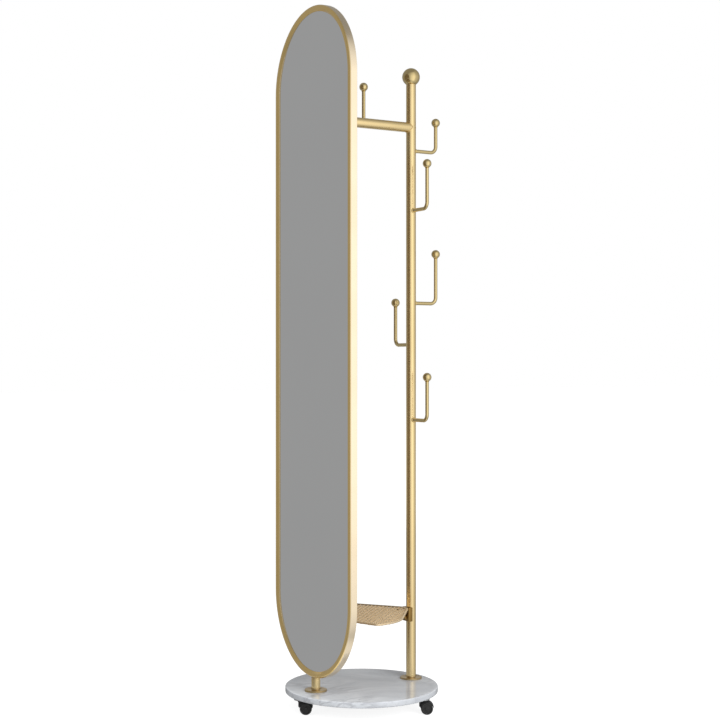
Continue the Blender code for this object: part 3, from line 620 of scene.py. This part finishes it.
# mirror frame: one rounded profile carried round the pill-shaped outline
frameShape = {
    "face": 0.0155, "slope": 0.0048, "slopeStart": 1.4, "wall": 0.0025, "backEdge": 0.0005,
    "outerEdge": 0.0055, "outerSteps": 10, "innerEdge": 0.0007, "lipEdge": 0.0004, "lipRise": 0.0009,
    "glassGap": 0.0002, "arcSteps": 96, "sharp": 35, "pinHole": 0.0023, "pinReach": 0.01, "pinSteps": 32,
}
frameLow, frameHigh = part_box("mirror_frame")
arcRadius = (frameHigh.x - frameLow.x) / 2


# points from the outer wall round the front to the glass and back along the wall, as (inset, depth)
def frameProfile():
    face = frameShape["face"]
    wall = frameShape["wall"]
    outer = frameShape["outerEdge"]
    inner = frameShape["innerEdge"]
    lip = frameShape["lipEdge"]
    backEdge = frameShape["backEdge"]
    front = frameLow.y
    back = frameHigh.y
    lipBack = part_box("mirror_glass")[0].y - frameShape["glassGap"]
    flat = face - frameShape["slope"]
    profile = arcPoints((outer, front + outer), outer, 180, 270, frameShape["outerSteps"])
    profile += [(outer + inner, front), (flat - 2 * inner, front), (flat - inner / 2, front)]
    profile += [(flat, front + inner / 2), (flat + inner, front + frameShape["slopeStart"] * inner)]
    profile += [(face - lip, lipBack - frameShape["lipRise"]), (face, lipBack - lip), (face, lipBack)]
    profile += [(wall, lipBack), (wall, back - lip), (wall - lip, back)]
    return profile + [(backEdge, back), (0, back - backEdge)]


rings = []
for centreHeight, startAngle in ((frameHigh.z - arcRadius, 0), (frameLow.z + arcRadius, pi)):
    for index in range(frameShape["arcSteps"] + 1):
        angle = startAngle + pi * index / frameShape["arcSteps"]
        ring = []
        for inset, depth in frameProfile():
            reach = arcRadius - inset
            ring.append((reach * cos(angle), depth, centreHeight + reach * sin(angle)))
        rings.append(ring)
work = bmesh.new()
skinRings(work, rings, around=True)
mirrorFrame = fromBmesh("mirrorFrame", work, frameShape["sharp"])
pinReach = frameShape["pinReach"]
pinCentre = (postAxis.x, postAxis.y, frameLow.z)
pinWay = drillBar(frameShape["pinHole"], pinReach, -pinReach, frameShape["pinSteps"], pinCentre)
cutWith(mirrorFrame, [pinWay], sharp=frameShape["sharp"])
dress(mirrorFrame, goldFrame, "mirror", "gold", "mirror_frame")
print("mirror frame done")


# tray: flat net of crossing wires in a rod rim; its front edges leave room for the turned mirror
trayShape = {
    "turn": 20, "clearance": 0.005, "half": 0.172, "frontRound": 0.012, "middleRound": 0.100,
    "shoulderHalf": 0.158, "shoulderShare": 0.41, "shoulderCurve": 0.65,
    "endHalf": 0.014, "endGap": 0.0003, "endRound": 0.011, "cornerSteps": 18,
    "pitch": 0.0104, "wire": 0.00115, "wireSides": 8, "rimSides": 16, "shortest": 0.004, "netReach": 0.3,
    "layers": (((1, 1), 1.85), ((-1, 1), 0.15)),    # way of the wires, depth under the rim's middle in radii
}
bracketShape = {
    "front": 0.004, "half": 0.015, "edge": 0.0010, "underNet": 0.0011,
    "strutWidth": 0.012, "strutDepth": 0.010, "strutEdge": 0.0007, "strutEdgeSteps": 2,
    "saddleGap": 0.0002, "saddlePast": 0.02, "saddleSteps": 72,
}
rimLow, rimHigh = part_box("tray_rim")
rimRadius = (rimHigh.z - rimLow.z) / 2
rimHeight = (rimLow.z + rimHigh.z) / 2
bracketFace = poleAxis.y - poleRadius - bracketShape["front"]
mirrorTurn = radians(trayShape["turn"])
trayEnd = bracketFace - trayShape["endGap"]
trayMiddle = postAxis.y + (frameHigh.y - postAxis.y + trayShape["clearance"]) / cos(mirrorTurn)
trayFront = trayMiddle + trayShape["half"] * tan(mirrorTurn)
trayShoulder = trayFront + trayShape["shoulderShare"] * (trayEnd - trayFront)
shoulderRound = trayShape["shoulderCurve"] * (trayEnd - trayFront)
rightCorners = [
    (trayShape["half"], trayFront, trayShape["frontRound"]),
    (trayShape["shoulderHalf"], trayShoulder, shoulderRound),
    (trayShape["endHalf"], trayEnd, trayShape["endRound"]),
]
leftCorners = [(-x, y, rounding) for x, y, rounding in reversed(rightCorners)]
trayCorners = [(0, trayMiddle, trayShape["middleRound"])] + rightCorners + leftCorners


# the tray's outline with rounded corners, moved inwards
def trayLine(inset):
    line = []
    count = len(trayCorners)
    for index, (x, y, rounding) in enumerate(trayCorners):
        corner = Vector((x, y))
        back = (Vector(trayCorners[index - 1][:2]) - corner).normalized()
        ahead = (Vector(trayCorners[(index + 1) % count][:2]) - corner).normalized()
        half = back.angle(ahead) / 2
        centre = corner + (back + ahead).normalized() * rounding / sin(half)
        arm = Vector((-back.y, back.x)) * (rounding - inset)
        for step in range(trayShape["cornerSteps"] + 1):
            spoke = arm.copy()
            spoke.rotate(Matrix.Rotation((pi - 2 * half) * step / trayShape["cornerSteps"], 2))
            line.append(centre + spoke)
    return line


# the part of a straight line that lies inside a convex outline
def insideSpan(start, along, line):
    low, high = -1.0, 1.0    # a metre each way is more than any wire needs
    count = len(line)
    for index, first in enumerate(line):
        side = line[(index + 1) % count] - first
        inward = Vector((-side.y, side.x))
        rate = along.dot(inward)
        offset = (start - first).dot(inward)
        if abs(rate) < 1e-12:    # this side runs along the line
            if offset < 0:
                return None
        elif rate > 0:
            low = max(low, -offset / rate)
        else:
            high = min(high, -offset / rate)
    return (low, high) if high - low > trayShape["shortest"] else None


rimLine = trayLine(rimRadius)
wire = trayShape["wire"]
count = ceil(trayShape["netReach"] / trayShape["pitch"])
work = bmesh.new()
for direction, depth in trayShape["layers"]:
    along = Vector(direction).normalized()
    across = Vector((-along.y, along.x))
    height = rimHeight - depth * wire
    for number in range(-count, count + 1):
        start = Vector((0, baseCentre.y)) + across * number * trayShape["pitch"]
        span = insideSpan(start, along, rimLine)
        if span:
            ends = [start + along * reach for reach in span]
            addWire(work, [(end.x, end.y, height) for end in ends], wire, trayShape["wireSides"])
dress(fromBmesh("trayNet", work), goldWire, "stand", "gold", "tray_floor")
rimPoints = [(spot.x, spot.y, rimHeight) for spot in rimLine]
rim = wirePiece("trayRim", rimPoints, rimRadius, trayShape["rimSides"], closed=True)
dress(rim, goldRim, "stand", "gold", "tray_rim")

# bracket: block with a saddle for the pole and a slanting strut under the net
bracketLow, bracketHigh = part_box("tray_bracket")
work = bmesh.new()
blockLow = (-bracketShape["half"], bracketFace, bracketLow.z)
blockHigh = (bracketShape["half"], bracketHigh.y, bracketHigh.z)
addRoundBox(work, blockLow, blockHigh, bracketShape["edge"])
bracket = fromBmesh("trayBracket", work)
strutFoot = bracketFace + bracketShape["front"] / 2
strutTop = rimHeight - bracketShape["underNet"]
strutDepth = bracketShape["strutDepth"]
outline = [(strutFoot, bracketLow.z), (strutFoot, bracketLow.z + strutDepth)]
outline += [(bracketLow.y + strutDepth, strutTop), (bracketLow.y, strutTop)]
work = bmesh.new()
sides = []
for across in (-bracketShape["strutWidth"] / 2, bracketShape["strutWidth"] / 2):
    sides.append([work.verts.new((across, y, z)) for y, z in outline])
    work.faces.new(sides[-1])
for index in range(len(outline)):
    after = (index + 1) % len(outline)
    work.faces.new((sides[0][index], sides[0][after], sides[1][after], sides[1][index]))
bmesh.ops.bevel(
    work, geom=list(work.edges), offset=bracketShape["strutEdge"], segments=bracketShape["strutEdgeSteps"],
    profile=0.5, affect="EDGES",
)
cutWith(bracket, [fromBmesh("strut", work)], "UNION")
saddleRadius = poleRadius + bracketShape["saddleGap"]
saddleEnds = (bracketHigh.z + bracketShape["saddlePast"], bracketLow.z - bracketShape["saddlePast"])
poleCentre = (poleAxis.x, poleAxis.y, 0)
cutWith(bracket, [drillBar(saddleRadius, *saddleEnds, bracketShape["saddleSteps"], poleCentre)])
dress(bracket, goldPaintedShade, "stand", "gold", "tray_bracket")
print("tray done")


# casters: twin wheels with dished faces under a rounded hood
wheelShape = {
    "steps": 64, "axleHole": 0.0023, "gap": 0.0006, "edge": 0.0022, "edgeSteps": 6,
    "hubRadius": 0.0052, "hubEdge": 0.0006, "hubInset": 0.0008, "hubShoulder": 0.0012, "hubFoot": 0.0004,
    "dish": 0.0022, "dishRim": 0.0046, "rimFoot": 0.0040, "rimEdge": 0.0004, "rimTop": 0.0034,
    "groove": 0.0007, "grooveHalf": 0.0008, "grooveFloor": 0.0004,
}
hoodShape = {
    "heading": 60, "web": 0.008, "edge": 0.0011, "sharp": 50, "fender": 0.0018, "fenderEdge": 0.0009,
    "fenderSide": 0.0012, "fenderStart": 12, "fenderSweep": 156, "fenderSteps": 32,
    "columnHalf": 0.0075, "columnDrop": 0.0050, "columnRise": 0.0016,
    "hub": 0.6, "hubFace": 0.58, "hubEdge": 0.0004, "roundSteps": 48,
    "boss": 0.25, "bossEdge": 0.0010, "bossEdgeSteps": 4,
    "stemHole": 0.0028, "stemPast": 0.01, "axleReach": 0.02, "holeSteps": 28,
}


# one wheel's outline, from the axle's hole out over the dished face, round the tread and back
def wheelOutline(radius, half):
    shape = wheelShape
    hub = shape["hubRadius"]
    edge = shape["edge"]
    hubTop = half - shape["hubInset"]
    dishFloor = half - shape["dish"]
    grooveFloor = radius - shape["groove"]
    outline = [(shape["axleHole"], hubTop), (hub - shape["hubEdge"], hubTop)]
    outline += [(hub, half - shape["hubShoulder"]), (hub + shape["hubFoot"], dishFloor)]
    outline += [(radius - shape["dishRim"], dishFloor), (radius - shape["rimFoot"], half - shape["rimEdge"])]
    outline += [(radius - shape["rimTop"], half)]
    outline += arcPoints((radius - edge, half - edge), edge, 90, 0, shape["edgeSteps"])
    outline += [(radius, shape["grooveHalf"]), (grooveFloor, shape["grooveFloor"])]
    outline += [(grooveFloor, -shape["grooveFloor"]), (radius, -shape["grooveHalf"])]
    outline += arcPoints((radius - edge, edge - half), edge, 0, -90, shape["edgeSteps"])
    return outline + [(shape["axleHole"], -half)]


# span is half the width over both wheels
def makeHood(number, centre, radius, span, toAxle):
    name = f"caster_{number}"
    # fender over both wheels
    heading = Matrix.Rotation(radians(hoodShape["heading"]), 3, "Z")
    forward = heading @ Vector((1, 0, 0))
    sideways = heading @ Vector((0, 1, 0))
    inner = radius + wheelShape["gap"]
    outer = inner + hoodShape["fender"]
    shoulder = outer - hoodShape["fenderEdge"]
    flank = span - hoodShape["fenderSide"]
    section = [(inner, -span), (shoulder, -span), (outer, -flank)]
    section += [(outer, flank), (shoulder, span), (inner, span)]
    rings = []
    for index in range(hoodShape["fenderSteps"] + 1):
        sweep = hoodShape["fenderSweep"] * index / hoodShape["fenderSteps"]
        angle = radians(hoodShape["fenderStart"] + sweep)
        ray = forward * cos(angle) + Vector((0, 0, sin(angle)))
        rings.append([centre + ray * reach + sideways * offset for reach, offset in section])
    work = bmesh.new()
    skinRings(work, rings, around=False)
    hood = fromBmesh(f"caster{number}Hood", work, hoodShape["sharp"])
    # column between the wheels, hub on the axle and boss round the stem
    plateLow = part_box(name + "_plate")[0]
    plateMiddle = middleOf(name + "_plate")
    stem = Vector((plateMiddle.x, plateMiddle.y, 0))
    webHalf = hoodShape["web"] / 2
    columnHalf = hoodShape["columnHalf"]
    columnLow = (-columnHalf, -webHalf, plateLow.z - hoodShape["columnDrop"])
    columnHigh = (columnHalf, webHalf, centre.z + inner + hoodShape["columnRise"])
    work = bmesh.new()
    addRoundBox(work, columnLow, columnHigh, hoodShape["edge"])
    bmesh.ops.transform(work, matrix=Matrix.Translation(stem) @ heading.to_4x4(), verts=work.verts)
    column = fromBmesh("column", work)
    hubRadius = radius * hoodShape["hub"]
    hubFace = radius * hoodShape["hubFace"]
    hubSide = webHalf - hoodShape["hubEdge"]
    outline = [(hubFace, webHalf), (hubRadius, hubSide), (hubRadius, -hubSide), (hubFace, -webHalf)]
    hub = turnPiece("hub", outline, hoodShape["roundSteps"], centre, frameTurn=toAxle)
    bossRadius = sizeOf(name + "_plate").x * hoodShape["boss"]
    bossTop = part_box(name + "_hood")[1].z
    bossEdge = hoodShape["bossEdge"]
    bossCorner = (bossRadius - bossEdge, bossTop - bossEdge)
    outline = arcPoints(bossCorner, bossEdge, 90, 0, hoodShape["bossEdgeSteps"])
    outline += [(bossRadius, centre.z + inner)]
    boss = turnPiece("boss", outline, hoodShape["roundSteps"], stem)
    cutWith(hood, [column, hub, boss], "UNION", hoodShape["sharp"])
    stemTop = bossTop + hoodShape["stemPast"]
    stemWay = drillBar(hoodShape["stemHole"], stemTop, plateLow.z, hoodShape["holeSteps"], stem)
    axleEnds = (hoodShape["axleReach"], -hoodShape["axleReach"])
    axleHole = drillBar(wheelShape["axleHole"], *axleEnds, hoodShape["holeSteps"], centre, toAxle)
    cutWith(hood, [stemWay, axleHole], "DIFFERENCE", hoodShape["sharp"])
    dress(hood, hoodPlastic, name, "black", name + "_hood")


def makeCaster(number):
    name = f"caster_{number}"
    leftMiddle = middleOf(name + "_wheel_left")
    rightMiddle = middleOf(name + "_wheel_right")
    radius = sizeOf(name + "_wheel_left").z / 2
    apart = (leftMiddle - rightMiddle).length
    half = apart / 2 - hoodShape["web"] / 2 - wheelShape["gap"]
    axleWay = (leftMiddle - rightMiddle).normalized()
    toAxle = Vector((0, 0, 1)).rotation_difference(axleWay).to_matrix()
    for side, word, middle in ((1, "Left", leftMiddle), (-1, "Right", rightMiddle)):
        turn = toAxle @ Matrix.Scale(side, 3, Vector((0, 0, 1)))
        wheelName = f"caster{number}Wheel{word}"
        outline = wheelOutline(radius, half)
        wheel = turnPiece(wheelName, outline, wheelShape["steps"], middle, ring=True, frameTurn=turn)
        dress(wheel, treadPlastic, f"{name}_wheels", "black", f"{name}_wheel_{word.lower()}")
    makeHood(number, (leftMiddle + rightMiddle) / 2, radius, apart / 2 + half, toAxle)


for number in (1, 2, 3):
    makeCaster(number)
print("casters done")


# parts that keep their own shape take a finish each
keptFinish = {
    "post_foot_plug": steel, "post_bolt": steel, "pole_foot_plug": steel, "pole_bolt": steel,
    "lower_pivot_block": steel, "upper_pivot_strap": steel, "crossbar_plug": steel,
    "tray_screw_lower": steel, "tray_screw_upper": steel,
    "pivot_pin": goldTube, "thrust_washer": goldTube, "pivot_arm": goldTube,
    "mirror_glass": silver, "back_panel": board,
}
for number in (1, 2, 3, 4):
    keptFinish[f"panel_clip_{number}"] = steel
for number in (1, 2, 3):
    keptFinish[f"caster_{number}_plate"] = steel
    keptFinish[f"caster_{number}_axle"] = axleBlack
for node, finish in keptFinish.items():
    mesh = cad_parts[node].data
    mesh.materials.clear()
    mesh.materials.append(finish)
print("kept parts finished:", len(keptFinish))


# camera at the photograph's angle; the middle and the focal length are in the photograph's pixels
viewLook = {
    "azimuth": 59.587, "distance": 3.5381, "height": 0.7955, "nearClip": 0.05,
    "focalPixels": 1417.79, "middle": (361.6, 365.87), "frame": 720, "sensor": 36,
}
turn = radians(viewLook["azimuth"])
pixels = viewLook["frame"]
cameraData = bpy.data.cameras.new("photoCamera")
cameraData.sensor_width = viewLook["sensor"]
cameraData.lens = viewLook["focalPixels"] / pixels * viewLook["sensor"]
cameraData.shift_x = (pixels / 2 - viewLook["middle"][0]) / pixels
cameraData.shift_y = (viewLook["middle"][1] - pixels / 2) / pixels
cameraData.clip_start = viewLook["nearClip"]
camera = bpy.data.objects.new("photoCamera", cameraData)
cameraAway = Vector((sin(turn), -cos(turn), 0)) * viewLook["distance"]
camera.location = baseCentre + cameraAway + Vector((0, 0, baseTop + viewLook["height"]))
camera.rotation_euler = (pi / 2, 0, turn)
scene.collection.objects.link(camera)
scene.camera = camera


# flat direction at a bearing in degrees from the camera's side
def towards(bearing):
    direction = turn - pi / 2 + radians(bearing)
    return Vector((cos(direction), sin(direction), 0))


def emptyTree(owner):
    owner.use_nodes = True
    owner.node_tree.nodes.clear()
    return owner.node_tree


# 1 for a ray from the camera, off a glossy face or through glass, 0 for other light
def seenRays(tree):
    rays = tree.nodes.new("ShaderNodeLightPath").outputs
    seen = mathOf(tree, "MAXIMUM", rays["Is Camera Ray"], rays["Is Glossy Ray"])
    return mathOf(tree, "MAXIMUM", seen, rays["Is Transmission Ray"])


# white studio: a world and a floor that look white and give less light than they show
studio = {"worldFill": 0.42, "floorHalf": 40.0, "floorGlow": 0.88, "floorTone": 0.34}
world = bpy.data.worlds.new("studioWorld")
scene.world = world
tree = emptyTree(world)
sky = tree.nodes.new("ShaderNodeBackground")
sky.inputs["Color"].default_value = (1, 1, 1, 1)
output = tree.nodes.new("ShaderNodeOutputWorld")
tree.links.new(rangeOf(tree, seenRays(tree), studio["worldFill"], 1.0, 0.0, 1.0), sky.inputs["Strength"])
tree.links.new(sky.outputs["Background"], output.inputs["Surface"])

work = bmesh.new()
half = studio["floorHalf"]
corners = ((-half, -half, 0), (half, -half, 0), (half, half, 0), (-half, half, 0))
work.faces.new([work.verts.new(corner) for corner in corners])
floorPiece = fromBmesh("studioFloor", work)
floorFinish = bpy.data.materials.new("studioFloor")
tree = emptyTree(floorFinish)
matt = tree.nodes.new("ShaderNodeBsdfDiffuse")
matt.inputs["Color"].default_value = (*[studio["floorTone"]] * 3, 1)
glow = tree.nodes.new("ShaderNodeEmission")
blend = tree.nodes.new("ShaderNodeAddShader")
output = tree.nodes.new("ShaderNodeOutputMaterial")
tree.links.new(mathOf(tree, "MULTIPLY", seenRays(tree), studio["floorGlow"]), glow.inputs["Strength"])
tree.links.new(matt.outputs["BSDF"], blend.inputs[0])
tree.links.new(glow.outputs["Emission"], blend.inputs[1])
tree.links.new(blend.outputs["Shader"], output.inputs["Surface"])
floorPiece.data.materials.append(floorFinish)
floorPiece.visible_glossy = False    # reflections show the tent below instead

# reflector tent round the stand, shown only in gloss: grey cloth, one soft bright side, a bright band behind;
# cloth, glow and back go by bearing in degrees from the camera's side, the two others by height in metres
tentShape = {
    "radius": 1.12, "floor": -0.8, "lid": 3.4, "steps": 144, "wallRows": 84, "discRows": 6,
    "lidTone": 0.32, "floorTone": 0.90, "edgeFade": 4,
    "cloth": [
        (-180, 0.34), (-130, 0.342), (-100, 0.342), (-80, 0.32), (-60, 0.30), (-34, 0.28), (0, 0.27),
        (60, 0.28), (100, 0.34), (180, 0.34),
    ],
    "glow": [
        (-180, 0), (-50, 0), (-34, 0.16), (-7, 0.50), (17, 0.84), (36, 1.02), (50, 1.02), (58, 0.92),
        (67, 0.60), (80, 0.40), (93, 0.32), (120, 0.1), (150, 0), (180, 0),
    ],
    "glowHeights": [
        (-0.8, 0.3), (-0.2, 0.60), (0.1, 0.74), (0.4, 0.97), (0.6, 1), (1.4, 1), (1.7, 0.96), (2.0, 0.76),
        (2.5, 0.56), (3.0, 0.35), (3.4, 0.1),
    ],
    "back": [(-180, 1), (-150, 1), (-130, 0), (130, 0), (150, 1), (180, 1)],
    "backHeights": [(-0.8, -0.18), (0.29, -0.17), (0.37, 0.50), (0.55, 0.45), (0.8, 0), (3.4, 0)],
}


# value of a table between its rows, eased at each row
def readTable(table, value):
    for (start, low), (end, high) in zip(table, table[1:]):
        if value <= end:
            share = max(0.0, (value - start) / (end - start))
            return low + (high - low) * share * share * (3 - 2 * share)
    return table[-1][1]


def tentTone(bearing, height, reach):
    tone = readTable(tentShape["cloth"], bearing)
    tone += readTable(tentShape["glow"], bearing) * readTable(tentShape["glowHeights"], height)
    tone += readTable(tentShape["back"], bearing) * readTable(tentShape["backHeights"], height)
    if reach < 1:    # the floor and the lid fade to one tone of their own
        plain = tentShape["floorTone"] if height < 0 else tentShape["lidTone"]
        tone = plain + (tone - plain) * max(0.0, 1 - (1 - reach) * tentShape["edgeFade"])
    return tone


tentRise = tentShape["lid"] - tentShape["floor"]
discRows = tentShape["discRows"]
wallRows = tentShape["wallRows"]
levels = [(row / discRows, tentShape["floor"]) for row in range(1, discRows + 1)]
levels += [(1, tentShape["floor"] + tentRise * row / wallRows) for row in range(1, wallRows + 1)]
levels += [(1 - row / discRows, tentShape["lid"]) for row in range(1, discRows)]
work = bmesh.new()
toneLayer = work.verts.layers.float_color.new("tone")
rows = []
for reach, height in levels:
    row = []
    for index in range(tentShape["steps"]):
        bearing = 360 * index / tentShape["steps"] - 180
        spot = baseCentre + towards(bearing) * tentShape["radius"] * reach
        vert = work.verts.new((spot.x, spot.y, height))
        vert[toneLayer] = (*[tentTone(bearing, height, reach)] * 3, 1)
        row.append(vert)
    rows.append(row)
for first, second in zip(rows, rows[1:]):
    for index in range(tentShape["steps"]):
        after = (index + 1) % tentShape["steps"]
        work.faces.new((first[index], first[after], second[after], second[index]))
work.faces.new(rows[0])
work.faces.new(rows[-1])
tentPiece = fromBmesh("reflectorTent", work)
tentFinish = bpy.data.materials.new("reflectorTent")
tree = emptyTree(tentFinish)
tone = tree.nodes.new("ShaderNodeVertexColor")
tone.layer_name = "tone"
glow = tree.nodes.new("ShaderNodeEmission")
output = tree.nodes.new("ShaderNodeOutputMaterial")
tree.links.new(tone.outputs["Color"], glow.inputs["Color"])
tree.links.new(glow.outputs["Emission"], output.inputs["Surface"])
tentPiece.data.materials.append(tentFinish)
tentFinish.cycles.emission_sampling = "NONE"
tentPiece.visible_camera = False
tentPiece.visible_diffuse = False
tentPiece.visible_shadow = False
tentPiece.visible_transmission = False

# soft round lamps, aimed at the middle of the stand
lampAim = 0.8
lampLooks = {
    "keyLamp": {"bearing": 30, "elevation": 16, "distance": 3.4, "size": 2.2, "watts": 122},
    "topLamp": {"bearing": -20, "elevation": 72, "distance": 3.0, "size": 2.6, "watts": 11},
    "fillLamp": {"bearing": -60, "elevation": 16, "distance": 3.6, "size": 2.4, "watts": 30},
}
for name, look in lampLooks.items():
    data = bpy.data.lights.new(name, "AREA")
    data.shape = "DISK"
    data.size = look["size"]
    data.energy = look["watts"]
    lamp = bpy.data.objects.new(name, data)
    aim = baseCentre + Vector((0, 0, lampAim))
    rise = radians(look["elevation"])
    way = towards(look["bearing"]) * cos(rise) + Vector((0, 0, sin(rise)))
    lamp.location = aim + way * look["distance"]
    lamp.rotation_euler = (aim - lamp.location).to_track_quat("-Z", "Y").to_euler()
    lamp.visible_glossy = False
    scene.collection.objects.link(lamp)
print("studio done")
